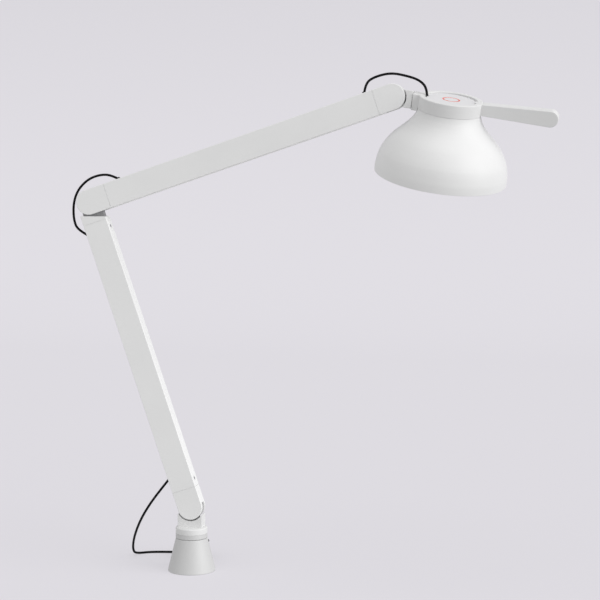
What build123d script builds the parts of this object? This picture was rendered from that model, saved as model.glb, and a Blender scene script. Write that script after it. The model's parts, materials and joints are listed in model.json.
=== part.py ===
from build123d import *
import os
from math import cos, pi, radians, sin, sqrt, tan

# Swing arm desk lamp: a cone bolted through the desk, a swivel, two equal arms on friction
# hinges, a neck that tilts and rolls, and a bell shade with a handle.
# Millimetres and degrees. Origin: centre of the cone's underside, on the desk. +Z is up, the
# arms swing in the XZ plane and the head is towards +X.
#
# ------------------------------------------------------------------ driving dimensions
# Pose in which the lamp stands
LOWER_LEAN = 18.6        # lower arm back from the vertical
UPPER_RISE = 18.6        # upper arm above the horizontal
NECK_DIP = 9.2           # neck below the horizontal
HEAD_ROLL = 13.4         # head turned about the neck, top towards -Y

# Arms: rectangular aluminium tubes with a forked cap at each hinge
ARM_LENGTH = 400.0       # from pivot to pivot, both arms
ARM_HEIGHT = 31.0
ARM_THICK = 18.0
ARM_WALL = 2.0
ARM_EDGE = 0.7           # rounding along the edges
SEAM_LINE = 0.35         # width of the groove that shows where a cap meets its tube
SHOULDER_SEAM = 23.5     # pivot to the joint between fork and tube
ELBOW_SEAM = 26.0
BLOCK_SEAM = 26.5
HEAD_SEAM = 21.0
PLUG_LENGTH = 15.0       # part of each end cap inside the tube
PLUG_PLAY = 0.1
SCREW_FROM_SEAM = 9.5    # set screw that holds an end cap

# Hinges: a fork on the arm, a dark tongue let into the other side, a shoulder screw through both
SHOULDER_Z = 81.0        # shoulder pivot above the desk
END_RADIUS = ARM_HEIGHT / 2
SEAT_RADIUS = 17.3       # hollow that the round end turns in
SLOT_HALF = 4.5
SLOT_DEPTH = 14.4
ELBOW_SLOT_DEPTH = 20.6  # deeper, so that the elbow folds past its tongue's corner
POCKET_RADIUS = 13.6     # round pocket in the lower arm's fork, closed towards the tube
POCKET_OPEN = 1.0        # the pocket is open below this level
TONGUE_HALF = 4.0
TONGUE_RADIUS = 13.0
TONGUE_NECK = 10.0       # half the shoulder tongue's width below its round end
NECK_TONGUE = 10.0
PIN_RADIUS = 4.0
PIN_PLAY = 0.05
THREAD_RADIUS = 3.0
CAP_RADIUS = 6.5
BLOCK_DROP = 17.5        # flat top of the elbow block below the elbow pivot

# Base
CONE_BASE_RADIUS = 30.0
CONE_TOP_RADIUS = 20.0
CONE_HEIGHT = 41.5
SWIVEL_GAP = 0.6         # dark line between the cone and the collar
COLLAR_TOP = 48.0
FOOT_TOP = 55.5
FOOT_ROUND = 1.8
COLLAR_RADIUS = 19.8
HORN_TOP = 72.0
SPINDLE_RADIUS = 6.0
BUSH_RADIUS = 9.0
STUD_RADIUS = 5.0
STUD_END = -62.0
DESK_THICKNESS = 25.0    # the desk top drawn between the pad and the plate
STOP_RADIUS = 14.0       # circle that the swivel's stop pin stands on
STOP_SWEEP = 352.0       # groove that the stop pin runs in

# Head, measured along the neck from the head pivot and up from the neck axis
KNUCKLE_END = 24.0
KNUCKLE_HALF = 10.5
ROLL_GAP = 0.5
RING_CENTRE = 69.4
RING_RADIUS = 38.2
RING_TOP = 9.2
RING_BOTTOM = -6.8
RING_BORE = 33.2
DISC_RADIUS = 29.4
DISC_TOP = 7.7
DISC_THICK = 2.0
LIP_RADIUS = 31.6        # opening in the ring's top that shows round the disc
SHELF_RADIUS = 27.0
SHADE_WALL = 1.5
# (radius, depth below the ring) along the outside of the shade, from the neck to the rim
SHADE_OUTLINE = [
    (37.9, 0), (42.3, 11.5), (52.0, 23.0), (63.6, 34.5),
    (71.9, 46.0), (77.2, 57.5), (79.6, 69.0), (80.0, 80.5),
]
FLANGE_RADIUS = 24.0     # hole in the shade's top
HANDLE_THICK = 16.0
HANDLE_END = 119.0       # centre of the rounded end, from the ring's centre
HANDLE_ROOT = (-4.6, 8.5)
HANDLE_TIP = (-5.6, 13.8)
BUTTON_RADIUS = 8.7
MARK_RADIUS = 10.7       # outer radius of the coloured ring round the button
ROLL_RADIUS = 3.5
BUTTON_FLANGE = 5.0      # underside of the button's flange, above the neck axis
BUTTON_TRAVEL = 0.8
SWITCH_TOP = 3.4
GRIP_SCREW = (4.5, -0.6)  # handle screws: out from the middle, and up from the neck axis
HEAD_CORD_X = -28.8      # where the cord goes in through the head's top
HEAD_CORD_LEAN = (-0.15, -0.1, 1.0)

# Cords
CORD_RADIUS = 1.5
GROMMET_RADIUS = 2.6
COIL_CENTRE = (-11.7, 60.1)
COIL_RADII = (11.0, 20.4)
COIL_BOTTOM = 0.7
COIL_HEIGHT = 18.6
COIL_TURN = 101.0        # direction of the connector on top of the coil
TIE_THICK = 0.5
TIE_TURN = -20.0
TAIL_START = 4.0         # connector's near end, back from the coil's centre
TAIL_BEND = 9.0          # radius of the cord's bend into the connector

HALF = ARM_THICK / 2
Y_AXIS = Vector(0, 1, 0)


# ------------------------------------------------------------------ frames and helpers
def frame_at(origin, degrees):
    """Local frame: x along a direction in the XZ plane, y across the arms, z outwards."""
    along = Vector(cos(radians(degrees)), 0, sin(radians(degrees)))
    return Location(Plane(origin, x_dir=along, z_dir=along.cross(Y_AXIS)))


def across(sketch, low, high):
    """A sketch drawn in local x and z, extruded across the arms from y = low to high."""
    plane = Plane((0, low, 0), x_dir=(1, 0, 0), z_dir=(0, -1, 0))
    return extrude(plane * sketch, amount=-(high - low))


def upright(radius, low, high, x=0.0, y=0.0):
    """A cylinder along local z."""
    return Pos(x, y, (low + high) / 2) * Cylinder(radius, high - low)


def lengthwise(radius, low, high, y=0.0, z=0.0):
    """A cylinder along local x."""
    return Pos((low + high) / 2, y, z) * Rot(0, 90, 0) * Cylinder(radius, high - low)


def crosswise(radius, low, high, x=0.0, z=0.0):
    """A cylinder along local y."""
    return Pos(x, (low + high) / 2, z) * Rot(90, 0, 0) * Cylinder(radius, high - low)


def block(x, y, z):
    """A box from its (low, high) pairs."""
    sizes = [high - low for low, high in (x, y, z)]
    middle = [(high + low) / 2 for low, high in (x, y, z)]
    return Pos(*middle) * Box(*sizes)


def turned(points):
    """A solid of revolution about local z from straight (radius, height) points."""
    return revolve(Plane.XZ * make_face(Polyline(*points, close=True)), Axis.Z)


def ring(inner, outer, low, high):
    return upright(outer, low, high) - upright(inner, low - 1, high + 1)


def circles(body, radius, height):
    """Circular edges of about a radius, at a height along local z."""
    edges = body.edges().filter_by(GeomType.CIRCLE)
    return [e for e in edges if abs(e.radius - radius) < 0.3 and abs(e.center().Z - height) < 0.1]


def around(piece, count, start=0.0):
    return [Rot(0, 0, start + 360 * k / count) * piece for k in range(count)]


def local(frame, x, z, y=0.0):
    """World position of a point given in a local frame."""
    return (frame * Pos(x, y, z)).position


def tube_along(name, points, flex=3):
    """Round cord: straight runs joined by tangent arcs, as large as the runs allow."""
    spots = [Vector(*p) for p in points]
    radii = []
    for before, here, after in zip(spots, spots[1:], spots[2:]):
        turn = (here - before).get_angle(after - here)
        shorter = min((here - before).length, (after - here).length)
        radii.append(0.45 * shorter / tan(radians(turn) / 2))
    path = FilletPolyline(*spots, radius=radii)
    start = Plane(spots[0], z_dir=spots[1] - spots[0])
    tube = sweep(start * Circle(CORD_RADIUS), path=path)
    expected = pi * CORD_RADIUS**2 * path.length
    print(
        f"{name}: {path.length:.0f} mm, volume over section times length "
        f"{tube.volume / expected:.3f}, radii {[round(r, 1) for r in radii]}"
        f"{' TIGHT' if min(radii) < flex * 2 * CORD_RADIUS else ''}"
    )
    return tube


SHOULDER = Vector(0, 0, SHOULDER_Z)
LOWER = frame_at(SHOULDER, 90 + LOWER_LEAN)
ELBOW = local(LOWER, ARM_LENGTH, 0)
BLOCK = frame_at(ELBOW, 270 + LOWER_LEAN)
UPPER = frame_at(ELBOW, UPPER_RISE)
HEAD_PIVOT = local(UPPER, ARM_LENGTH, 0)
HEAD_END = frame_at(HEAD_PIVOT, 180 + UPPER_RISE)
NECK = frame_at(HEAD_PIVOT, -NECK_DIP)
ROLLED = NECK * Rot(HEAD_ROLL, 0, 0)
HEAD = ROLLED * Pos(RING_CENTRE, 0, 0)


# ------------------------------------------------------------------ hinge parts
def soften(body, seam):
    """Round the outer edges of an end cap, but not those at its seam."""
    faces = [f for f in body.faces() if abs(abs(f.center().Y) - HALF) < 0.01]
    edges = [e for f in faces for e in f.edges() if abs(e.center().X - seam) > 0.01]
    return fillet(edges, ARM_EDGE)


def plug(seam, cord_side):
    """The part of an end cap inside the tube, with a channel for the cord."""
    half_y = HALF - ARM_WALL - PLUG_PLAY
    half_z = ARM_HEIGHT / 2 - ARM_WALL - PLUG_PLAY
    end = seam + PLUG_LENGTH
    body = block((seam - 1, end), (-half_y, half_y), (-half_z, half_z))
    channel = block((seam + 2, end + 1), (-3.2, 3.2), (0, half_z + 1))
    screw = upright(1.25, 4, half_z + 1, x=seam + SCREW_FROM_SEAM)
    if cord_side > 0:
        return body - channel - Rot(180, 0, 0) * screw
    return body - Rot(180, 0, 0) * channel - screw


def seam_groove(seam):
    """Shallow groove round an end cap at its seam."""
    band = block((seam - SEAM_LINE, seam + 1), (-HALF - 1, HALF + 1), (-ARM_HEIGHT, ARM_HEIGHT))
    depth = 0.6
    half_z = ARM_HEIGHT / 2 - depth
    return band - block((seam - 1, seam + 2), (depth - HALF, HALF - depth), (-half_z, half_z))


def open_slot(depth):
    """Slot right through an end cap, from its round end to a depth past the pivot."""
    return block((-END_RADIUS - 1, depth), (-SLOT_HALF, SLOT_HALF), (-ARM_HEIGHT, ARM_HEIGHT))


def pocket():
    """Slot that is closed round the tongue's end, so that the arm's narrow faces stay whole."""
    return open_slot(POCKET_OPEN) + crosswise(POCKET_RADIUS, -SLOT_HALF, SLOT_HALF)


def fork(seam, cord_side, slot):
    """Forked end cap: round cheeks about the pivot, plain in front, bored behind."""
    outline = Circle(END_RADIUS) + Pos(seam / 2, 0) * Rectangle(seam, ARM_HEIGHT)
    body = soften(across(outline, -HALF, HALF), seam) - seam_groove(seam)
    body = body - slot + plug(seam, cord_side)
    body = body - crosswise(PIN_RADIUS, 0, HALF + 1) - crosswise(CAP_RADIUS, 6.0, HALF + 1)
    return body - crosswise(THREAD_RADIUS, -7.6, 0)


def tongue(reach, radius, neck):
    """Flat tongue about the pivot, joined to what carries it at x = reach."""
    outline = Circle(radius) + Pos(reach / 2, 0) * Rectangle(reach, 2 * neck)
    return across(outline, -TONGUE_HALF, TONGUE_HALF)


def pivot_bore():
    return crosswise(PIN_RADIUS + PIN_PLAY, -HALF, HALF)


def pivot_screw():
    """Shoulder screw with its head behind and its thread in the front cheek."""
    head = crosswise(6.2, 6.0, 8.0) - crosswise(2.0, 7.0, 8.5)
    return crosswise(PIN_RADIUS, -SLOT_HALF, 6.0) + crosswise(THREAD_RADIUS, -7.4, -SLOT_HALF) + head


def pivot_washers():
    washer = crosswise(9.4, TONGUE_HALF + 0.05, SLOT_HALF) - crosswise(PIN_RADIUS + 0.1, 0, 9)
    return [washer, mirror(washer, about=Plane.XZ)]


def pivot_cap():
    """Cover over the screw's head, flush with the rear cheek."""
    cap = crosswise(CAP_RADIUS - 0.1, 8.1, HALF)
    rim = [e for e in cap.edges() if abs(e.center().Y - HALF) < 0.01]
    return chamfer(rim, 0.3)


def end_screw(seam, cord_side):
    """Countersunk screw through the tube's narrow face into the end cap."""
    wall = ARM_HEIGHT / 2
    shank = upright(1.2, 5, wall - 1.4)
    head = Pos(0, 0, wall - 0.8) * Cone(1.35, 2.4, 1.3)
    socket = upright(0.9, wall - 1.1, wall)
    screw = Pos(seam + SCREW_FROM_SEAM, 0, 0) * (shank + head - socket)
    return screw if cord_side < 0 else Rot(180, 0, 0) * screw


# ------------------------------------------------------------------ arms
# Where each cord passes through an arm's outer wall: (distance along the arm, direction)
FREE_EXIT = (41.3, (-0.54, 0.84))
ELBOW_LOW_EXIT = (360.8, (0.71, 0.71))
ELBOW_HIGH_EXIT = (44.1, (-0.707, 0.707))
HEAD_EXIT = (368.5, (0.45, 0.89))
GROMMET_REACH = 1.2      # grommet's face beyond the wall, along the cord
CABLE_REACH = 0.4        # end of the cord inside the arm, beyond the wall


def along_exit(exit_at, radius, inside, outside):
    """A cylinder along the cord at an exit, in the arm's frame."""
    x, (dx, dz) = exit_at
    plane = Plane((x, 0, ARM_HEIGHT / 2), z_dir=(dx, 0, dz))
    return extrude(plane.offset(inside) * Circle(radius), amount=outside - inside)


def exit_point(frame, exit_at, beyond=GROMMET_REACH):
    x, (dx, dz) = exit_at
    size = sqrt(dx * dx + dz * dz)
    return local(frame, x + dx / size * beyond, ARM_HEIGHT / 2 + dz / size * beyond)


def ahead(frame, exit_at, distance):
    """The first point of a route that leaves an exit straight."""
    return exit_point(frame, exit_at, GROMMET_REACH + distance)


def cord_hole(exit_at):
    return along_exit(exit_at, GROMMET_RADIUS, -6.0, 4.0)


def grommet(exit_at):
    body = along_exit(exit_at, GROMMET_RADIUS - 0.05, -4.0, GROMMET_REACH)
    return body - along_exit(exit_at, CORD_RADIUS + 0.05, -5.0, GROMMET_REACH + 1)


def arm_tube(start, end, exits, screws):
    profile = RectangleRounded(ARM_THICK, ARM_HEIGHT, ARM_EDGE)
    hollow = Rectangle(ARM_THICK - 2 * ARM_WALL, ARM_HEIGHT - 2 * ARM_WALL)
    plane = Plane((start, 0, 0), x_dir=(0, 1, 0), z_dir=(1, 0, 0))
    tube = extrude(plane * (profile - hollow), amount=end - start)
    for exit_at in exits:
        tube -= cord_hole(exit_at)
    for x in screws:
        tube -= Pos(x, 0, 0.75 - ARM_HEIGHT / 2) * Cone(2.6, 1.4, 1.5)
        tube -= upright(1.4, -ARM_HEIGHT / 2, 0, x=x)
    return tube


def inner_cable(name, low_exit, high_exit, level=2.0):
    """Cord inside an arm, from one grommet to the other, in the arm's frame."""
    points = []
    for x, (dx, dz) in (low_exit, high_exit):
        size = sqrt(dx * dx + dz * dz)
        ends = [
            (x + CABLE_REACH * dx / size, 0, ARM_HEIGHT / 2 + CABLE_REACH * dz / size),
            (x - (ARM_HEIGHT / 2 - level) * dx / dz, 0, level),
        ]
        points += ends if not points else ends[::-1]
    return tube_along(name, points)


def lower_parts():
    screws = [SHOULDER_SEAM + SCREW_FROM_SEAM, ARM_LENGTH - BLOCK_SEAM - SCREW_FROM_SEAM]
    exits = [FREE_EXIT, ELBOW_LOW_EXIT]
    tube = arm_tube(SHOULDER_SEAM, ARM_LENGTH - BLOCK_SEAM, exits, screws)
    parts = {
        "lower_tube": LOWER * tube,
        "lower_fork": LOWER * fork(SHOULDER_SEAM, 1, pocket()),
        "elbow_block": BLOCK * elbow_block(),
        "elbow_tongue": BLOCK * elbow_tongue(),
        "shoulder_screw": LOWER * pivot_screw(),
        "shoulder_washers": [LOWER * w for w in pivot_washers()],
        "shoulder_cap": LOWER * pivot_cap(),
        "lower_end_screws": [
            LOWER * end_screw(SHOULDER_SEAM, 1), BLOCK * end_screw(BLOCK_SEAM, -1)
        ],
        "lower_grommets": [LOWER * grommet(e) for e in exits],
        "lower_cable": LOWER * inner_cable("lower_cable", FREE_EXIT, ELBOW_LOW_EXIT),
    }
    parts["lower_fork"] -= LOWER * cord_hole(FREE_EXIT)
    parts["elbow_block"] -= LOWER * cord_hole(ELBOW_LOW_EXIT)
    return parts


def elbow_block():
    """Top end of the lower arm: a block whose top is cut level, with a slot for the tongue."""
    body = block((0, BLOCK_SEAM), (-HALF, HALF), (-ARM_HEIGHT / 2, ARM_HEIGHT / 2))
    body = fillet(body.edges().filter_by(Axis.X), ARM_EDGE) - seam_groove(BLOCK_SEAM)
    level = Rot(0, LOWER_LEAN, 0) * block((-60, BLOCK_DROP), (-20, 20), (-60, 60))
    return body - level + plug(BLOCK_SEAM, -1) - elbow_tongue()


def elbow_tongue():
    return tongue(BLOCK_SEAM - 1, TONGUE_RADIUS, TONGUE_RADIUS) - pivot_bore()


def shoulder_tongue():
    return tongue(SHOULDER_Z - FOOT_TOP, TONGUE_RADIUS, TONGUE_NECK) - pivot_bore()


def upper_parts():
    screws = [ELBOW_SEAM + SCREW_FROM_SEAM, ARM_LENGTH - HEAD_SEAM - SCREW_FROM_SEAM]
    exits = [ELBOW_HIGH_EXIT, HEAD_EXIT]
    tube = arm_tube(ELBOW_SEAM, ARM_LENGTH - HEAD_SEAM, exits, screws)
    ends = (UPPER, HEAD_END)
    elbow_fork = fork(ELBOW_SEAM, 1, open_slot(ELBOW_SLOT_DEPTH))
    head_fork = fork(HEAD_SEAM, -1, open_slot(SLOT_DEPTH))
    return {
        "upper_tube": UPPER * tube,
        "elbow_fork": UPPER * (elbow_fork - cord_hole(ELBOW_HIGH_EXIT)),
        "head_fork": HEAD_END * head_fork - UPPER * cord_hole(HEAD_EXIT),
        "upper_pivot_screws": [f * pivot_screw() for f in ends],
        "upper_pivot_washers": [f * w for f in ends for w in pivot_washers()],
        "upper_pivot_caps": [f * pivot_cap() for f in ends],
        "upper_end_screws": [
            UPPER * end_screw(ELBOW_SEAM, 1), HEAD_END * end_screw(HEAD_SEAM, -1)
        ],
        "upper_grommets": [UPPER * grommet(e) for e in exits],
        "upper_cable": UPPER * inner_cable("upper_cable", ELBOW_HIGH_EXIT, HEAD_EXIT),
    }


# ------------------------------------------------------------------ base and swivel
def base_parts():
    """What is bolted to the desk: everything that stands still."""
    slope = (CONE_BASE_RADIUS - CONE_TOP_RADIUS) / CONE_HEIGHT
    foot = CONE_BASE_RADIUS - 0.4
    cone = turned([
        (BUSH_RADIUS + 0.02, CONE_HEIGHT), (CONE_TOP_RADIUS - 0.5, CONE_HEIGHT),
        (CONE_TOP_RADIUS, CONE_HEIGHT - 0.6), (CONE_BASE_RADIUS - 1.2 * slope, 1.2),
        (foot, 0.3), (foot - 1.0, 0.3), (foot - 1.0, 2.0), (24.2, 2.0), (24.2, 7.6),
        (14.0, 7.6), (14.0, 22.0), (BUSH_RADIUS + 0.02, 22.0),
    ])
    cone -= upright(16.2, CONE_HEIGHT - 1.8, CONE_HEIGHT + 1)
    pin_hole = upright(1.25, CONE_HEIGHT - 7, CONE_HEIGHT, x=-STOP_RADIUS)
    bush = ring(SPINDLE_RADIUS + 0.05, BUSH_RADIUS, 22.0, CONE_HEIGHT - 1.8)
    bush += ring(SPINDLE_RADIUS + 0.05, 16.1, CONE_HEIGHT - 1.8, CONE_HEIGHT)
    screw = upright(2.0, 4.6, 19, x=19) + upright(3.4, 2.2, 4.6, x=19) - upright(1.5, 1.8, 3.6, x=19)
    plate = ring(STUD_RADIUS + 0.02, 24.0, 2.0, 7.5)
    for hole in around(upright(2.1, 1, 9, x=19) + upright(3.6, 1, 4.6, x=19), 3, 60):
        plate -= hole
    for hole in around(upright(2.02, 7, 19.5, x=19), 3, 60):
        cone -= hole
    low = -DESK_THICKNESS
    knob = turned([
        (STUD_RADIUS + 0.05, low - 5), (12, low - 5), (12, low - 8), (19, low - 8),
        (19, low - 18), (STUD_RADIUS + 0.05, low - 18),
    ])
    for grip in around(upright(4.0, low - 19, low - 7, x=21), 8):
        knob -= grip
    stud = upright(STUD_RADIUS, STUD_END, 7.5)
    stud = chamfer(circles(stud, STUD_RADIUS, STUD_END), 1.0)
    return {
        "base_cone": cone - pin_hole,
        "base_pad": ring(STUD_RADIUS + 1.5, CONE_BASE_RADIUS - 1.6, 0, 1.9),
        "mount_plate": plate,
        "plate_screws": around(screw, 3, 60),
        "mount_stud": stud,
        "swivel_bush": bush - pin_hole,
        "stop_pin": upright(1.2, CONE_HEIGHT - 6.9, CONE_HEIGHT + 2.6, x=-STOP_RADIUS),
        "under_desk_plate": ring(STUD_RADIUS + 0.6, 27, low - 5, low),
        "clamp_nut": knob,
    }


def swivel_parts():
    """What turns on the cone: spindle, collar and the knuckle that holds the lower arm."""
    low = CONE_HEIGHT + SWIVEL_GAP
    collar = ring(SPINDLE_RADIUS + 0.3, COLLAR_RADIUS, low, COLLAR_TOP)
    collar = chamfer(circles(collar, COLLAR_RADIUS, COLLAR_TOP), 0.35)
    groove = revolve(
        Plane.XZ * Pos(STOP_RADIUS, low + 1.5) * Rectangle(2.8, 3.1), Axis.Z, STOP_SWEEP
    )
    collar -= Rot(0, 0, (360 - STOP_SWEEP) / 2) * groove
    collar -= ring(0.1, 12.2, low - 1, low + 0.6)
    foot = upright(COLLAR_RADIUS, COLLAR_TOP, FOOT_TOP)
    foot = fillet(circles(foot, COLLAR_RADIUS, FOOT_TOP), FOOT_ROUND)
    neck = block((-END_RADIUS, END_RADIUS), (-HALF, HALF), (FOOT_TOP - 1, HORN_TOP))
    neck = fillet(neck.edges().filter_by(Axis.Z), ARM_EDGE)
    down = frame_at(SHOULDER, 270)
    knuckle = foot + neck - down * crosswise(SEAT_RADIUS, -30, 30) - down * shoulder_tongue()
    knuckle -= upright(SPINDLE_RADIUS, COLLAR_TOP - 1, 54)
    screws = around(
        upright(1.5, COLLAR_TOP - 3.5, 53.5, x=10) + upright(2.7, 43.0, 45.0, x=10), 2, 90
    )
    for screw in around(upright(1.52, 40, 53.6, x=10), 2, 90):
        knuckle -= screw
    for screw in around(upright(1.6, 40, 49, x=10) + upright(2.9, 40, 45.05, x=10), 2, 90):
        collar -= screw
    spindle = upright(SPINDLE_RADIUS, 16.5, 54.0)
    spindle -= ring(4.8, 8, 19.6, 21.0)
    return {
        "swivel_spindle": spindle,
        "swivel_collar": collar,
        "base_knuckle": knuckle,
        "shoulder_tongue": down * shoulder_tongue(),
        "thrust_washer": ring(SPINDLE_RADIUS + 0.3, 12.0, CONE_HEIGHT + 0.05, low + 0.6),
        "circlip": ring(4.82, 9.0, 19.7, 20.9) - block((0, 12), (-2.5, 2.5), (19, 22)),
        "foot_screws": screws,
    }


# ------------------------------------------------------------------ neck and head
def neck_parts():
    """Between the upper arm and the head: tilts on the arm and carries the roll shaft."""
    body = block((4, KNUCKLE_END), (-HALF, HALF), (-KNUCKLE_HALF, KNUCKLE_HALF))
    body = fillet(body.edges().filter_by(Axis.X), ARM_EDGE)
    body = body - crosswise(SEAT_RADIUS, -30, 30) + tongue(SEAT_RADIUS + 1, NECK_TONGUE, NECK_TONGUE)
    body -= pivot_bore()
    body -= lengthwise(ROLL_RADIUS + 0.05, 10, KNUCKLE_END + 1)
    body -= block((11.4, 16.4), (-9, 9), (-5, 5))
    body -= lengthwise(8.2, KNUCKLE_END - 0.6, KNUCKLE_END + 1)
    nut = lengthwise(3.9, 11.6, 14.6) - lengthwise(2.5, 11, 15)
    washers = [
        lengthwise(3.9, 14.8, 16.2) - lengthwise(2.7, 14, 17),
        lengthwise(8.0, KNUCKLE_END - 0.55, KNUCKLE_END + ROLL_GAP - 0.05)
        - lengthwise(ROLL_RADIUS + 0.15, 20, 26),
    ]
    return {
        "head_knuckle": NECK * body,
        "roll_nut": ROLLED * nut,
        "roll_washers": [NECK * w for w in washers],
    }


def shade_solid(grow=0.0):
    """Shade's outer form as a solid, made larger all round by grow."""
    outline = [(r + grow, -d) for r, d in SHADE_OUTLINE]
    curve = Spline(*outline, tangents=[(0.12, -1), (0, -1)])
    end = -SHADE_OUTLINE[-1][1]
    sides = Polyline((outline[-1][0], end), (0, end), (0, 0), outline[0])
    return revolve(Plane.XZ * make_face([curve, sides]), Axis.Z)


def shade():
    """Spun shell: one curve from the neck to the rim, with a flange inside the neck."""
    outer = [(r, -d) for r, d in SHADE_OUTLINE]
    inner = []
    spots = [outer[0], *outer, outer[-1]]
    for before, (r, z), after in zip(spots, outer, spots[2:]):
        dr, dz = after[0] - before[0], after[1] - before[1]
        size = sqrt(dr * dr + dz * dz)
        inner.append((r + SHADE_WALL * dz / size, z - SHADE_WALL * dr / size))
    inner[0] = (outer[0][0] - SHADE_WALL, -SHADE_WALL)
    inner[-1] = (outer[-1][0] - SHADE_WALL, outer[-1][1])
    skin = Spline(*outer, tangents=[(0.12, -1), (0, -1)])
    lining = Spline(*inner, tangents=[(0.12, -1), (0, -1)])
    rim = Line(outer[-1], inner[-1])
    flange = Polyline(inner[0], (FLANGE_RADIUS, -SHADE_WALL), (FLANGE_RADIUS, 0), outer[0])
    body = revolve(Plane.XZ * make_face([skin, rim, lining, flange]), Axis.Z)
    end = -SHADE_OUTLINE[-1][1]
    body = fillet(circles(body, SHADE_OUTLINE[-1][0], end) + circles(body, inner[-1][0], end), 0.5)
    for hole in around(upright(1.7, -3, 1, x=29.5), 3, 30):
        body -= hole
    return Pos(0, 0, RING_BOTTOM) * body


def head_ring():
    """Ring with a shelf for the top disc, lugs for the screws and a boss towards the neck."""
    top, bottom = RING_TOP, RING_BOTTOM
    shelf = DISC_TOP - DISC_THICK
    body = turned([
        (RING_BORE, bottom), (RING_RADIUS - 0.6, bottom), (RING_RADIUS, bottom + 0.6),
        (RING_RADIUS, top - 1.0),
        (RING_RADIUS - 0.3, top - 0.3), (RING_RADIUS - 1.0, top), (LIP_RADIUS + 0.4, top),
        (LIP_RADIUS, top - 0.4), (LIP_RADIUS, shelf), (SHELF_RADIUS, shelf),
        (SHELF_RADIUS, shelf - 2.5), (RING_BORE, shelf - 2.5),
    ])
    for lug in around(upright(3.4, bottom, shelf - 1, x=29.5), 3, 30):
        body += lug
    back = KNUCKLE_END + ROLL_GAP - RING_CENTRE
    boss = block((back, -33.5), (-HALF, HALF), (-KNUCKLE_HALF, top))
    boss = fillet(boss.edges().filter_by(Axis.X), ARM_EDGE)
    boss -= upright(RING_BORE, -20, shelf - 2.5) + upright(RING_RADIUS, -20, bottom)
    boss -= Pos(0, 0, bottom) * shade_solid(0.4)
    body += boss
    bridge = block((DISC_RADIUS - 0.5, LIP_RADIUS + 2), (-5, 5), (shelf - 0.5, top - 0.1))
    body += bridge
    body -= lengthwise(ROLL_RADIUS, back - 1, -34.0)
    for screw in around(upright(1.25, bottom - 1, shelf - 1.5, x=29.5), 3, 30):
        body -= screw
    for side in (-1, 1):
        body -= lengthwise(1.7, 30, 40, y=side * GRIP_SCREW[0], z=GRIP_SCREW[1])
    return body - head_cord_hole()


def head_cord_hole():
    plane = Plane((HEAD_CORD_X, 0, RING_TOP), z_dir=HEAD_CORD_LEAN)
    return extrude(plane.offset(-12) * Circle(2.1), amount=20)


def handle():
    """Flat grip that widens to a round end; its root is hollowed to fit the ring."""
    low, high = HANDLE_ROOT
    tip_low, tip_high = HANDLE_TIP
    middle, radius = (tip_low + tip_high) / 2, (tip_high - tip_low) / 2
    sides = Polyline((HANDLE_END, tip_high), (30, high), (30, low), (HANDLE_END, tip_low))
    end = ThreePointArc(
        (HANDLE_END, tip_low), (HANDLE_END + radius, middle), (HANDLE_END, tip_high)
    )
    body = across(make_face([sides, end]), -HANDLE_THICK / 2, HANDLE_THICK / 2)
    rims = [
        e for f in body.faces() if abs(abs(f.center().Y) - HANDLE_THICK / 2) < 0.01
        for e in f.edges() if e.center().X > 31
    ]
    body = fillet(rims, 1.0) - upright(RING_RADIUS, -20, 30)
    for side in (-1, 1):
        body -= lengthwise(1.25, 30, 50, y=side * GRIP_SCREW[0], z=GRIP_SCREW[1])
    return body


def head_screws():
    """Three that hold the shade up to the ring and two that hold the handle."""
    pan = upright(2.9, RING_BOTTOM - SHADE_WALL - 2.0, RING_BOTTOM - SHADE_WALL, x=29.5)
    shank = upright(1.2, RING_BOTTOM - SHADE_WALL, RING_BOTTOM + 8, x=29.5)
    socket = upright(1.2, -15, RING_BOTTOM - SHADE_WALL - 0.8, x=29.5)
    grip = lengthwise(1.2, RING_BORE - 1, 49) + lengthwise(2.8, RING_BORE - 2.8, RING_BORE - 0.9)
    grips = [Pos(0, side * GRIP_SCREW[0], GRIP_SCREW[1]) * grip for side in (-1, 1)]
    return around(pan + shank - socket, 3, 30) + grips


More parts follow.
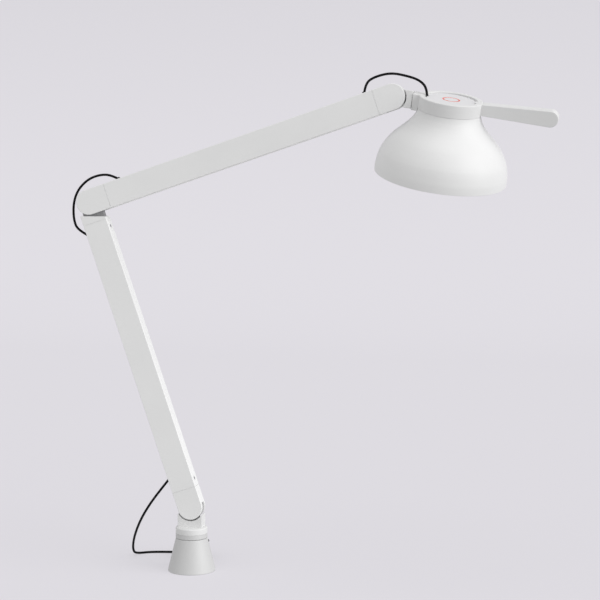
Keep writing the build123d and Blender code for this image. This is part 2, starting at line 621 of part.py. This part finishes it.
def head_parts():
    shelf = DISC_TOP - DISC_THICK
    disc = upright(DISC_RADIUS, shelf, DISC_TOP)
    disc = chamfer(circles(disc, DISC_RADIUS, DISC_TOP), 0.3)
    disc -= upright(MARK_RADIUS, DISC_TOP - 1.0, DISC_TOP + 1)
    disc -= upright(BUTTON_RADIUS + 0.1, shelf - 1, DISC_TOP)
    disc -= block((DISC_RADIUS - 0.7, DISC_RADIUS + 1), (-5.2, 5.2), (0, 12))
    mark = ring(BUTTON_RADIUS + 0.1, MARK_RADIUS, DISC_TOP - 1.0, DISC_TOP + 0.05)
    top = RING_BOTTOM + 0.3
    sink = upright(27.4, RING_BOTTOM + 0.0, -3.6) + upright(22.0, -19.0, top)
    for fin in range(-3, 4):
        sink += block((-17, 17), (5 * fin - 0.7, 5 * fin + 0.7), (-4, -2.2))
    for lug in around(upright(3.8, -10, 4, x=29.5), 3, 30):
        sink -= lug
    board = upright(21.0, -20.6, -19.0)
    for chip in around(upright(2.4, -21.3, -20.6, x=12), 6):
        board += chip
    reflector = turned([
        (21.4, -19.4), (22.8, -19.4), (45.4, -37.6), (45.4, -40.2),
        (44.2, -40.2), (44.2, -38.2), (22.0, -20.8), (21.4, -20.8),
    ])
    bezel = turned([
        (40.5, -42.4), (47.0, -42.4), (47.0, -39.0),
        (45.5, -39.0), (45.5, -40.5), (40.5, -40.5),
    ])
    control = upright(23.0, -0.4, 1.2) + block((-3, 3), (-3, 3), (1.2, SWITCH_TOP))
    spring = ring(5.0, 6.4, 1.25, BUTTON_FLANGE - 0.05)
    shaft = lengthwise(ROLL_RADIUS, 16.4, RING_CENTRE - 34.0) + lengthwise(2.45, 11.4, 16.4)
    return {
        "roll_shaft": ROLLED * shaft,
        "head_ring": HEAD * head_ring(),
        "handle": HEAD * handle(),
        "head_screws": [HEAD * s for s in head_screws()],
        "shade": HEAD * shade(),
        "top_disc": HEAD * (disc - head_cord_hole()),
        "mode_mark": HEAD * mark,
        "heat_sink": HEAD * sink,
        "led_board": HEAD * board,
        "reflector": HEAD * reflector,
        "diffuser": HEAD * upright(44.0, -40.45, -38.6),
        "diffuser_bezel": HEAD * bezel,
        "control_board": HEAD * control,
        "button_spring": HEAD * spring,
    }


def button():
    """Push button inside the coloured ring, on a short stem over its switch."""
    cap = upright(BUTTON_RADIUS, BUTTON_FLANGE, DISC_TOP)
    flange = upright(11.0, BUTTON_FLANGE, DISC_TOP - DISC_THICK - 0.05)
    stem = upright(3.0, SWITCH_TOP + BUTTON_TRAVEL + 0.02, BUTTON_FLANGE)
    return HEAD * (cap + flange + stem)


# ------------------------------------------------------------------ cords
# Routes in world coordinates, where the cord isn't coiled
def elbow_route():
    return [
        exit_point(UPPER, ELBOW_HIGH_EXIT), ahead(UPPER, ELBOW_HIGH_EXIT, 10.6),
        (-114.9, 0, 494.0), (-128.7, 0, 489.2), (-140.2, 0, 479.3), (-146.9, 0, 467.9),
        (-149.9, 0, 454.5), (-149.3, 0, 437.0),
        ahead(LOWER, ELBOW_LOW_EXIT, 15), exit_point(LOWER, ELBOW_LOW_EXIT),
    ]


LOOP_MIDDLE = (259.8, 0, 614.1)  # where the arm's cord and the head's cord meet over the hinge


def tilt_route():
    return [
        exit_point(UPPER, HEAD_EXIT), ahead(UPPER, HEAD_EXIT, 11),
        (229.0, 0, 611.6), (249.0, 0, 616.4), LOOP_MIDDLE,
    ]


def roll_route():
    inside = local(HEAD, HEAD_CORD_X, RING_TOP - 3)
    dx, dy, dz = HEAD_CORD_LEAN
    lean = local(HEAD, dx, dz, dy) - HEAD.position
    above = inside + lean.normalized() * 11.2
    return [LOOP_MIDDLE, (270.6, 0, 611.8), (283.8, -0.8, 606.8), above, inside]


def free_route():
    return [
        exit_point(LOWER, FREE_EXIT), ahead(LOWER, FREE_EXIT, 16),
        (-53.0, 6.0, 84.0), (-68.0, 16.0, 63.0), (-80.0, 28.0, 42.0), (-88.5, 40.0, 22.0),
        (-92.0, 52.0, 6.5), (-90.0, 64.0, 1.5), (-76.0, 73.5, 1.5), (-56.0, 77.5, 1.6),
        (-34.0, 78.9, 1.9), (-11.7, 78.9, 2.3),
    ]


def connector():
    """Small coaxial power connector with a strain relief, lying along local x."""
    relief = Pos(3.5, 0, 0) * Rot(0, 90, 0) * Cone(1.9, 2.6, 7.0)
    grip = block((7, 21), (-3.1, 3.1), (-2.8, 2.8))
    grip = fillet(grip.edges().filter_by(Axis.X), 2.0)
    return relief + grip + lengthwise(2.75, 21, 30) - lengthwise(1.25, 23.5, 31)


def cord_parts():
    inner, outer = COIL_RADII
    top = COIL_BOTTOM + COIL_HEIGHT
    here = Pos(*COIL_CENTRE, 0) * Rot(0, 0, COIL_TURN)
    # the cord's last bend, on top of the coil, into the connector
    axis_height = top + 2.8
    bend = Pos(-TAIL_START, -TAIL_BEND, axis_height) * Rot(0, 0, 90)
    arc = revolve(Plane.XZ * Pos(TAIL_BEND, 0) * Circle(CORD_RADIUS), Axis.Z, 90)
    coil = ring(inner, outer, COIL_BOTTOM, top)
    coil += bend * arc + upright(1.2, top - 0.5, axis_height, x=-TAIL_START - 6.4, y=-TAIL_BEND + 6.4)
    free = tube_along("free_cord", free_route()) - here * coil
    heights = (COIL_BOTTOM - TIE_THICK, top + TIE_THICK)
    band = block((inner - TIE_THICK, outer + TIE_THICK), (-2.5, 2.5), heights)
    band -= block((inner, outer), (-3, 3), (COIL_BOTTOM, top))
    return {
        "free_cord": free,
        "cord_coil": here * coil,
        "cord_tie": Pos(*COIL_CENTRE, 0) * (Rot(0, 0, TIE_TURN) * band - coil),
        "cord_connector": here * Pos(-TAIL_START, 0, axis_height) * connector(),
        "elbow_loop": tube_along("elbow_loop", elbow_route()),
        "tilt_loop": tube_along("tilt_loop", tilt_route()),
        "roll_loop": tube_along("roll_loop", roll_route()),
    }


# ------------------------------------------------------------------ the whole lamp
def main():
    parts = {
        **base_parts(), **swivel_parts(), **lower_parts(), **upper_parts(),
        **neck_parts(), **head_parts(), "button": button(), **cord_parts(),
    }
    os.makedirs("parts", exist_ok=True)
    for name, piece in parts.items():
        pieces = piece if isinstance(piece, list) else [piece]
        solids = [s for p in pieces for s in p.solids()]
        shape = solids[0] if len(solids) == 1 else Compound(children=solids)
        shape.label = name
        export_step(shape, f"parts/{name}.step")
    print(len(parts), "nodes")
    print("elbow", ELBOW, "head pivot", HEAD_PIVOT, "ring centre", HEAD.position)


main()
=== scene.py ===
import json
from math import cos, pi, radians, sin

import bmesh
import bpy
from mathutils import Matrix, Vector


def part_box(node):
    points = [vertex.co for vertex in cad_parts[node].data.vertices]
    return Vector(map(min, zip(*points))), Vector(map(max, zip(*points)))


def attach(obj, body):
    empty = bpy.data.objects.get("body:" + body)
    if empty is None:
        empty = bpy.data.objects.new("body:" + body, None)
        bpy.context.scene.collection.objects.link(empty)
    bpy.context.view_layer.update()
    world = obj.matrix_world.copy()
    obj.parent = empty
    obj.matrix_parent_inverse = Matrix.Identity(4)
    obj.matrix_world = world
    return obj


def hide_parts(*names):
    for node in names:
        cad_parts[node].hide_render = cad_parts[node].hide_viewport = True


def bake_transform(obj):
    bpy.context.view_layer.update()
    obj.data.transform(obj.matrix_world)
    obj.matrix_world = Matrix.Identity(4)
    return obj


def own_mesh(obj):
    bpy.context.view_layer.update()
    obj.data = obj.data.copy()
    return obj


# Looks of the swing arm desk lamp: satin grey arms and shade, black cords, a pale studio.
# Routes and sizes are in millimetres, and Blender's own values in metres.
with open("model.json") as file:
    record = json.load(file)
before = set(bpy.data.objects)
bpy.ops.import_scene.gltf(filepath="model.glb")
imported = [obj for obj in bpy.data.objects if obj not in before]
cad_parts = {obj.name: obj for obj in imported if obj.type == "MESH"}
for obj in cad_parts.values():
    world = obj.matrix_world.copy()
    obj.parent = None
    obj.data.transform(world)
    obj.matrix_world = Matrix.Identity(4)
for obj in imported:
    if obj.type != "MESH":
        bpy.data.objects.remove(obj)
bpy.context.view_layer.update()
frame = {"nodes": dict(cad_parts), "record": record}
NODES = frame["nodes"]
MM = 0.001

# ------------------------------------------------------------------ the head's own frame
NECK_DIP = radians(9.2)
HEAD_ROLL = radians(13.4)
HEAD_PIVOT = Vector((251.52, 0, 587.69))
RING_CENTRE = 69.4       # along the neck from the head pivot


def frame_at(origin, angle):
    """Local frame in metres: x along a direction in the XZ plane, y across, z outwards."""
    along = Vector((cos(angle), 0, sin(angle)))
    across = Vector((0, 1, 0))
    up = along.cross(across)
    turn = Matrix((along, across, up)).transposed().to_4x4()
    return Matrix.Translation(origin * MM) @ turn


NECK = frame_at(HEAD_PIVOT, -NECK_DIP)
HEAD = (
    NECK @ Matrix.Rotation(HEAD_ROLL, 4, "X") @ Matrix.Translation((RING_CENTRE * MM, 0, 0))
)


# ------------------------------------------------------------------ helpers
def add(name, data):
    """A new object in the scene."""
    obj = bpy.data.objects.new(name, data)
    bpy.context.scene.collection.objects.link(obj)
    return obj


def smooth(mesh):
    for polygon in mesh.polygons:
        polygon.use_smooth = True


# ------------------------------------------------------------------ camera
CAMERA_PLACE = (0.5188, -1.9574, 0.5191)
CAMERA_DIP = 5.07        # degrees below the horizontal
CAMERA_TURN = 11         # degrees about the vertical
CAMERA_LENS = 98.4


def make_camera():
    data = bpy.data.cameras.new("camera")
    data.lens = CAMERA_LENS
    data.sensor_width = 36.0
    data.clip_start = 0.05
    camera = add("camera", data)
    camera.location = CAMERA_PLACE
    camera.rotation_euler = (radians(90 - CAMERA_DIP), 0, radians(CAMERA_TURN))
    bpy.context.scene.camera = camera


make_camera()


# ------------------------------------------------------------------ cords
CORD = 3.0               # diameter
COIL_CENTRE = (-11.7, 60.1)
COIL_OUTER = 18.8        # centreline of the coil's outermost and lowest turn
COIL_FLOOR = 2.3
COIL_PITCH = 3.1
COIL_LAYERS = 6
COIL_STEPS = 12          # points to a turn
CONNECTOR_TURN = radians(101)
CONNECTOR_START = 4.0    # connector's near end, back from the coil's centre
CONNECTOR_HEIGHT = 22.1
TAIL_BEND = 8.0          # radius of the cord's bend into the connector
LEAVE_STEP = radians(33)  # between the points where the cord leaves the coil's top layer
LEAVE_IN = 0.3           # how far in and up it moves over each of those steps
LEAVE_UP = 0.45
TAIL_STEP = 45.0         # degrees between the corners of the eight-sided tail

ELBOW_LOOP = [
    (-91.81, 0, 489.40), (-101.30, 0, 494.11), (-114.9, 0, 494.0), (-128.7, 0, 489.2),
    (-140.2, 0, 479.3), (-146.9, 0, 467.9), (-149.9, 0, 454.5), (-149.3, 0, 437.0),
    (-144.28, 0, 425.21), (-130.85, 0, 418.54),
]
LOOP_MIDDLE = (259.8, 0, 614.1)
TILT_LOOP = [
    (216.90, 0, 593.52), (218.47, 0, 604.41), (229.0, 0, 611.6), (249.0, 0, 616.4), LOOP_MIDDLE,
]
ROLL_LOOP = [
    LOOP_MIDDLE, (270.6, 0, 611.8), (283.8, -0.8, 606.8), (292.61, -5.06, 597.75),
    (292.57, -1.44, 587.15),
]
FREE_CORD = [
    (-28.61, 0, 114.26), (-38.61, 0, 101.77), (-53.0, 6.0, 84.0), (-68.0, 16.0, 63.0),
    (-80.0, 28.0, 42.0), (-88.5, 40.0, 22.0), (-92.0, 52.0, 6.5), (-90.0, 64.0, 1.5),
    (-76.0, 73.5, 1.5), (-56.0, 77.5, 1.6), (-34.0, 78.9, 1.9), (-11.7, 78.9, 2.3),
]


def coil_points():
    """Flat spirals wound in and out by turns, each a diameter above the last, from the back."""
    points = []
    angle, radius, height = pi / 2, COIL_OUTER, COIL_FLOOR

    def lay(turn, at_radius, at_height):
        x = COIL_CENTRE[0] + at_radius * cos(angle - turn)
        y = COIL_CENTRE[1] + at_radius * sin(angle - turn)
        points.append((x, y, at_height))

    for layer in range(COIL_LAYERS):
        inward = 1 if layer % 2 else -1
        for k in range(1, 2 * COIL_STEPS + 1):
            turn = 2 * pi * k / COIL_STEPS
            lay(turn, radius + inward * COIL_PITCH * k / COIL_STEPS, height)
        radius += 2 * inward * COIL_PITCH
        for k in range(1, COIL_STEPS // 2 + 1):
            share = 2 * k / COIL_STEPS
            climb = share * share * (3 - 2 * share)
            lay(2 * pi * k / COIL_STEPS, radius, height + COIL_PITCH * climb)
        angle -= pi
        height += COIL_PITCH
    for k in range(1, 3):
        lay(LEAVE_STEP * k, radius - LEAVE_IN * k, height + LEAVE_UP * k)
    return points


def connector_frame():
    place = Matrix.Translation(Vector((*COIL_CENTRE, CONNECTOR_HEIGHT)) * MM)
    return place @ Matrix.Rotation(CONNECTOR_TURN, 4, "Z")


def tail_points():
    """The last bend, on top of the coil, up to the connector's strain relief."""
    at = connector_frame()
    reach = TAIL_BEND / cos(radians(TAIL_STEP / 2))
    turns = [radians(-90 - TAIL_STEP * (k + 0.5)) for k in range(4)]
    places = [(reach * cos(t) - CONNECTOR_START, reach * sin(t) - TAIL_BEND, 0) for t in turns]
    places.append((-CONNECTOR_START, 0, 0))
    return [tuple(at @ (Vector(p) * MM) / MM) for p in places]


def route_curve(name, points, bevel=0.0):
    """An open quadratic NURBS through the route's control points."""
    data = bpy.data.curves.new(name, "CURVE")
    data.dimensions = "3D"
    spline = data.splines.new("NURBS")
    spline.points.add(len(points) - 1)
    for spot, point in zip(spline.points, points):
        spot.co = (*(Vector(point) * MM), 1.0)
    spline.order_u = 3
    spline.use_endpoint_u = True
    data.resolution_u = 10
    data.bevel_depth = bevel
    data.bevel_resolution = 5
    data.use_fill_caps = True
    return data


def mesh_of(data):
    """The curve as a mesh, as the renderer would draw it."""
    obj = add("temporary", data)
    bpy.context.view_layer.update()
    mesh = bpy.data.meshes.new_from_object(obj)
    bpy.data.objects.remove(obj)
    return mesh


def cord_tube(name, points):
    """A round cord along a route, as a mesh, and the line that it follows in metres."""
    line = [v.co.copy() for v in mesh_of(route_curve(name + "_line", points)).vertices]
    mesh = mesh_of(route_curve(name + "_tube", points, CORD / 2 * MM))
    mesh.name = name
    smooth(mesh)
    return add(name, mesh), line


def make_cords():
    cords = {}
    whole = FREE_CORD + coil_points() + tail_points()
    # name, route, nodes it stands for, bodies, and a start and an end point along the route
    plan = [
        ("desk_cord", whole, ("free_cord", "cord_coil"), ("lower_arm", "swivel"),
         (-28, 0, 114), (-50, 20, 60)),
        ("elbow_cord", ELBOW_LOOP, ("elbow_loop",), ("upper_arm", "lower_arm"),
         (-95, 0, 489), (-133, 0, 421)),
        ("tilt_cord", TILT_LOOP, ("tilt_loop",), ("upper_arm", "neck"),
         (219, 0, 600), (259.8, 0, 612)),
        ("roll_cord", ROLL_LOOP, ("roll_loop",), ("neck", "head"),
         (261, 0, 612), (292, -2, 597)),
    ]
    for name, route, stands_for, bodies, start, end in plan:
        obj, line = cord_tube(name, route)
        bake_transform(obj)
        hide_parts(*stands_for)
        cords[name] = (obj, line)
    return cords


CORDS = make_cords()


# ------------------------------------------------------------------ the button's spring
def make_spring():
    """A wound wire spring under the button."""
    turns, steps = 4.5, 14
    low, high, radius, wire = 1.7, 4.5, 5.7, 0.4
    count = round(turns * steps)
    points = []
    for k in range(count + 1):
        angle = 2 * pi * k / steps
        height = low + (high - low) * k / count
        spot = Vector((radius * cos(angle), radius * sin(angle), height))
        points.append(tuple(HEAD @ (spot * MM) / MM))
    mesh = mesh_of(route_curve("spring_wire", points, wire * MM))
    smooth(mesh)
    obj = add("wound_spring", mesh)
    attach(obj, "head")
    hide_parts("button_spring")
    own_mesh(obj)
    return obj


# ------------------------------------------------------------------ the desk stud
def make_stud():
    """The M10 stud with its thread: a helical ridge round a core."""
    box = [Vector(c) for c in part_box("mount_stud")]
    low, high = box[0].z, box[1].z
    outer, inner, pitch = 0.005, 0.0043, 0.0015
    steps, levels_to_a_pitch = 24, 6
    lead_in, blunt_end = 0.0012, 0.0002   # the thread grows from the stud's lower end
    crest = 1.5                           # steepness of the flanks, which leaves a flat crest
    work = bmesh.new()
    levels = round((high - low) / (pitch / levels_to_a_pitch))
    rows = []
    for level in range(levels + 1):
        z = low + (high - low) * level / levels
        taper = min(1.0, (z - low + blunt_end) / lead_in)
        row = []
        for k in range(steps):
            angle = 2 * pi * k / steps
            wave = abs(((z / pitch + k / steps) % 1) * 2 - 1)
            radius = inner + (outer - inner) * min(1.0, crest * wave) * taper
            row.append(work.verts.new((radius * cos(angle), radius * sin(angle), z)))
        rows.append(row)
    for below, above in zip(rows, rows[1:]):
        for k in range(steps):
            n = (k + 1) % steps
            work.faces.new((below[k], below[n], above[n], above[k]))
    work.faces.new(list(reversed(rows[0])))
    work.faces.new(rows[-1])
    mesh = bpy.data.meshes.new("threaded_stud")
    work.to_mesh(mesh)
    work.free()
    obj = add("threaded_stud", mesh)
    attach(obj, "desk_mount")
    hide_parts("mount_stud")
    return obj


# ------------------------------------------------------------------ materials
def new_material(name):
    material = bpy.data.materials.new(name)
    material.use_nodes = True
    tree = material.node_tree
    tree.nodes.clear()
    output = tree.nodes.new("ShaderNodeOutputMaterial")
    shader = tree.nodes.new("ShaderNodeBsdfPrincipled")
    tree.links.new(shader.outputs["BSDF"], output.inputs["Surface"])
    return material, tree, shader


def noise(tree, scale, detail=4.0, stretch=(1, 1, 1)):
    """Noise in the object's own metres, stretched along an axis."""
    place = tree.nodes.new("ShaderNodeTexCoord")
    mapping = tree.nodes.new("ShaderNodeMapping")
    mapping.inputs["Scale"].default_value = stretch
    texture = tree.nodes.new("ShaderNodeTexNoise")
    texture.inputs["Scale"].default_value = scale
    texture.inputs["Detail"].default_value = detail
    tree.links.new(place.outputs["Object"], mapping.inputs["Vector"])
    tree.links.new(mapping.outputs["Vector"], texture.inputs["Vector"])
    return texture.outputs["Fac"]


def spread(tree, value, low, high):
    """A 0 to 1 value mapped to a range."""
    remap = tree.nodes.new("ShaderNodeMapRange")
    remap.inputs["From Min"].default_value = 0.3
    remap.inputs["From Max"].default_value = 0.7
    remap.inputs["To Min"].default_value = low
    remap.inputs["To Max"].default_value = high
    tree.links.new(value, remap.inputs["Value"])
    return remap.outputs["Result"]


def tint(tree, value, dark, light):
    """A colour between two, by a 0 to 1 value."""
    mix = tree.nodes.new("ShaderNodeMix")
    mix.data_type = "RGBA"
    mix.inputs["A"].default_value = (*dark, 1)
    mix.inputs["B"].default_value = (*light, 1)
    tree.links.new(value, mix.inputs["Factor"])
    return mix.outputs["Result"]


def bump(tree, shader, value, strength, distance):
    node = tree.nodes.new("ShaderNodeBump")
    node.inputs["Strength"].default_value = strength
    node.inputs["Distance"].default_value = distance
    tree.links.new(value, node.inputs["Height"])
    tree.links.new(node.outputs["Normal"], shader.inputs["Normal"])


def satin_paint(name, color, roughness=0.5, metallic=0.0):
    """Fine powder coat: a little orange peel, faint cloudiness in colour and gloss."""
    material, tree, shader = new_material(name)
    cloud = noise(tree, 14.0, 3.0)
    dark = [c * 0.98 for c in color]
    light = [min(1, c * 1.012) for c in color]
    tree.links.new(tint(tree, spread(tree, cloud, 0, 1), dark, light), shader.inputs["Base Color"])
    smear = noise(tree, 60.0, 5.0)
    rough = spread(tree, smear, roughness - 0.035, roughness + 0.045)
    tree.links.new(rough, shader.inputs["Roughness"])
    bump(tree, shader, noise(tree, 1400.0, 2.0), 0.16, 0.00012)
    shader.inputs["Metallic"].default_value = metallic
    shader.inputs["Specular IOR Level"].default_value = 0.35
    return material


def brushed_steel(name, color=(0.56, 0.56, 0.57), roughness=0.32, stretch=(1, 1, 40)):
    """Bare metal with a fine grain, drawn out along an axis where it is brushed."""
    material, tree, shader = new_material(name)
    grain = noise(tree, 120.0, 6.0, stretch)
    dark = [c * 0.86 for c in color]
    tree.links.new(tint(tree, spread(tree, grain, 0, 1), dark, color), shader.inputs["Base Color"])
    rough = spread(tree, grain, roughness - 0.06, roughness + 0.1)
    tree.links.new(rough, shader.inputs["Roughness"])
    bump(tree, shader, grain, 0.12, 0.0001)
    shader.inputs["Metallic"].default_value = 1.0
    return material


def moulded(name, color, roughness, grain_scale=900.0, strength=0.25):
    """Plastic or rubber with a fine moulded grain."""
    material, tree, shader = new_material(name)
    cloud = noise(tree, 25.0, 3.0)
    dark = [c * 0.85 for c in color]
    light = [c * 1.12 for c in color]
    tree.links.new(tint(tree, spread(tree, cloud, 0, 1), dark, light), shader.inputs["Base Color"])
    grain = noise(tree, grain_scale, 3.0)
    rough = spread(tree, noise(tree, 90.0, 4.0), roughness - 0.06, roughness + 0.06)
    tree.links.new(rough, shader.inputs["Roughness"])
    bump(tree, shader, grain, strength, 0.0002)
    return material


def braided(name, color):
    """Matt textile braid: small raised cells over a dark yarn."""
    material, tree, shader = new_material(name)
    place = tree.nodes.new("ShaderNodeTexCoord")
    cells = tree.nodes.new("ShaderNodeTexVoronoi")
    cells.inputs["Scale"].default_value = 1100.0
    cells.inputs["Randomness"].default_value = 0.35
    tree.links.new(place.outputs["Object"], cells.inputs["Vector"])
    light = [c * 2.2 for c in color]
    tree.links.new(tint(tree, cells.outputs["Distance"], light, color), shader.inputs["Base Color"])
    rough = spread(tree, noise(tree, 300.0, 3.0), 0.78, 0.92)
    tree.links.new(rough, shader.inputs["Roughness"])
    bump(tree, shader, cells.outputs["Distance"], 0.35, 0.0003)
    shader.inputs["Specular IOR Level"].default_value = 0.15
    return material


PAINT = (0.90, 0.90, 0.90)
MATERIALS = {
    "arm_paint": satin_paint("arm_paint", PAINT),
    # This darker copy of the arm paint is painted shade for the downward-tilted faces of the head's
    # ring and handle.
    "cast_paint": satin_paint("cast_paint", (0.80, 0.80, 0.80)),
    # This darker copy of the arm paint is painted shade on the top disc's upward face, which the
    # light from above would make brighter.
    "disc_paint": satin_paint("disc_paint", (0.79, 0.785, 0.80)),
    "cone_paint": satin_paint("cone_paint", (0.655, 0.655, 0.655), 0.55, 0.1),
    "tube_paint": satin_paint("tube_paint", (0.905, 0.905, 0.905), 0.48),
    "shade_paint": satin_paint("shade_paint", (0.855, 0.855, 0.855), 0.42),
    # Dark grey on the hinge tongues is painted shade: it stands in for the shadow inside the hinge
    # gaps.
    "hinge_dark": satin_paint("hinge_painted_shade", (0.32, 0.32, 0.325), 0.5, 0.3),
    "steel": brushed_steel("turned_steel"),
    "plate_steel": moulded("black_powder_coat", (0.035, 0.035, 0.038), 0.5),
    "knob_plastic": moulded("knob_plastic", (0.03, 0.03, 0.032), 0.55),
    "bush_plastic": moulded("bush_plastic", (0.035, 0.035, 0.037), 0.5),
    "rubber_pad": moulded("rubber_pad", (0.025, 0.025, 0.027), 0.75),
    "cord_jacket": braided("cord_braid", (0.004, 0.004, 0.0045)),
    "cord_plug": moulded("cord_plug", (0.022, 0.022, 0.024), 0.5),
    "heat_sink": brushed_steel("blasted_aluminium", (0.62, 0.62, 0.64), 0.5, (1, 1, 1)),
    "circuit": moulded("solder_mask", (0.62, 0.63, 0.6), 0.35, 400.0, 0.1),
    "reflector": brushed_steel("bright_reflector", (0.86, 0.86, 0.87), 0.2, (1, 1, 1)),
    "diffuser": moulded("frosted_sheet", (0.88, 0.88, 0.86), 0.55, 1200.0, 0.2),
    "mark_coral": moulded("coral_ring", (0.86, 0.12, 0.07), 0.3, 900.0, 0.05),
}


def dress(obj, slot):
    obj.data.materials.clear()
    obj.data.materials.append(MATERIALS[slot])


def dress_everything():
    """Each piece in the material of its slot in the record."""
    slots = {s["node"]: s["material_slot"] for s in frame["record"]["subparts"]}
    for name, obj in NODES.items():
        dress(obj, slots[name])
        smooth(obj.data)
        normals = obj.modifiers.new("smooth_faces", "WEIGHTED_NORMAL")
        normals.keep_sharp = True
    for obj, _ in CORDS.values():
        dress(obj, "cord_jacket")
    dress(make_spring(), "steel")
    dress(make_stud(), "steel")


dress_everything()


# ------------------------------------------------------------------ studio
def make_stage():
    """A pale floor that curves up into a backdrop."""
    mesh = bpy.data.meshes.new("studio")
    work = bmesh.new()
    front, back, radius, top, half = -12.0, 2.2, 1.2, 5.0, 14.0
    steps = 12
    profile = [(front, 0.0), (back, 0.0)]
    profile += [
        (back + radius * sin(a), radius * (1 - cos(a)))
        for a in [radians(90 * k / steps) for k in range(1, steps + 1)]
    ]
    profile.append((back + radius, top))
    rows = [
        [work.verts.new((x, y, z)) for y, z in profile]
        for x in (-half, half)
    ]
    for k in range(len(profile) - 1):
        work.faces.new((rows[0][k], rows[1][k], rows[1][k + 1], rows[0][k + 1]))
    work.to_mesh(mesh)
    work.free()
    smooth(mesh)
    obj = add("studio", mesh)
    material, _, shader = new_material("studio_paper")
    shader.inputs["Base Color"].default_value = (0.30, 0.29, 0.31, 1)
    shader.inputs["Roughness"].default_value = 0.9
    shader.inputs["Specular IOR Level"].default_value = 0.0
    shader.inputs["Emission Color"].default_value = (0.968, 0.951, 1.0, 1)
    shader.inputs["Emission Strength"].default_value = 0.485
    obj.data.materials.append(material)
    obj.visible_diffuse = False
    obj.visible_shadow = False


def sun(name, direction, power, softness):
    """Even light from a direction, as from a large lamp far away."""
    data = bpy.data.lights.new(name, "SUN")
    data.energy = power
    data.angle = radians(softness)
    obj = add(name, data)
    obj.rotation_euler = Vector(direction).to_track_quat("Z", "Y").to_euler()


def make_lights():
    """Four soft lights, even air round the lamp, and the backdrop's colour beyond the stage."""
    sun("key", (0.9, -0.3, 0.3), 1.75, 55.0)
    sun("above", (0.1, -0.25, 0.96), 0.63, 50.0)
    sun("fill", (-0.7, -0.6, 0.4), 0.30, 60.0)
    sun("desk_bounce", (-0.45, 0.25, -0.85), 0.36, 50.0)
    world = bpy.data.worlds.new("studio_air")
    world.use_nodes = True
    tree = world.node_tree
    air = tree.nodes["Background"]
    air.inputs["Color"].default_value = (1.0, 1.0, 1.0, 1)
    air.inputs["Strength"].default_value = 0.46
    backdrop = tree.nodes.new("ShaderNodeBackground")
    backdrop.inputs["Color"].default_value = (0.74, 0.725, 0.765, 1)
    seen = tree.nodes.new("ShaderNodeLightPath")
    either = tree.nodes.new("ShaderNodeMixShader")
    tree.links.new(seen.outputs["Is Camera Ray"], either.inputs["Fac"])
    tree.links.new(air.outputs["Background"], either.inputs[1])
    tree.links.new(backdrop.outputs["Background"], either.inputs[2])
    tree.links.new(either.outputs["Shader"], tree.nodes["World Output"].inputs["Surface"])
    bpy.context.scene.world = world
    bpy.context.scene.view_settings.view_transform = "Standard"


make_stage()
make_lights()
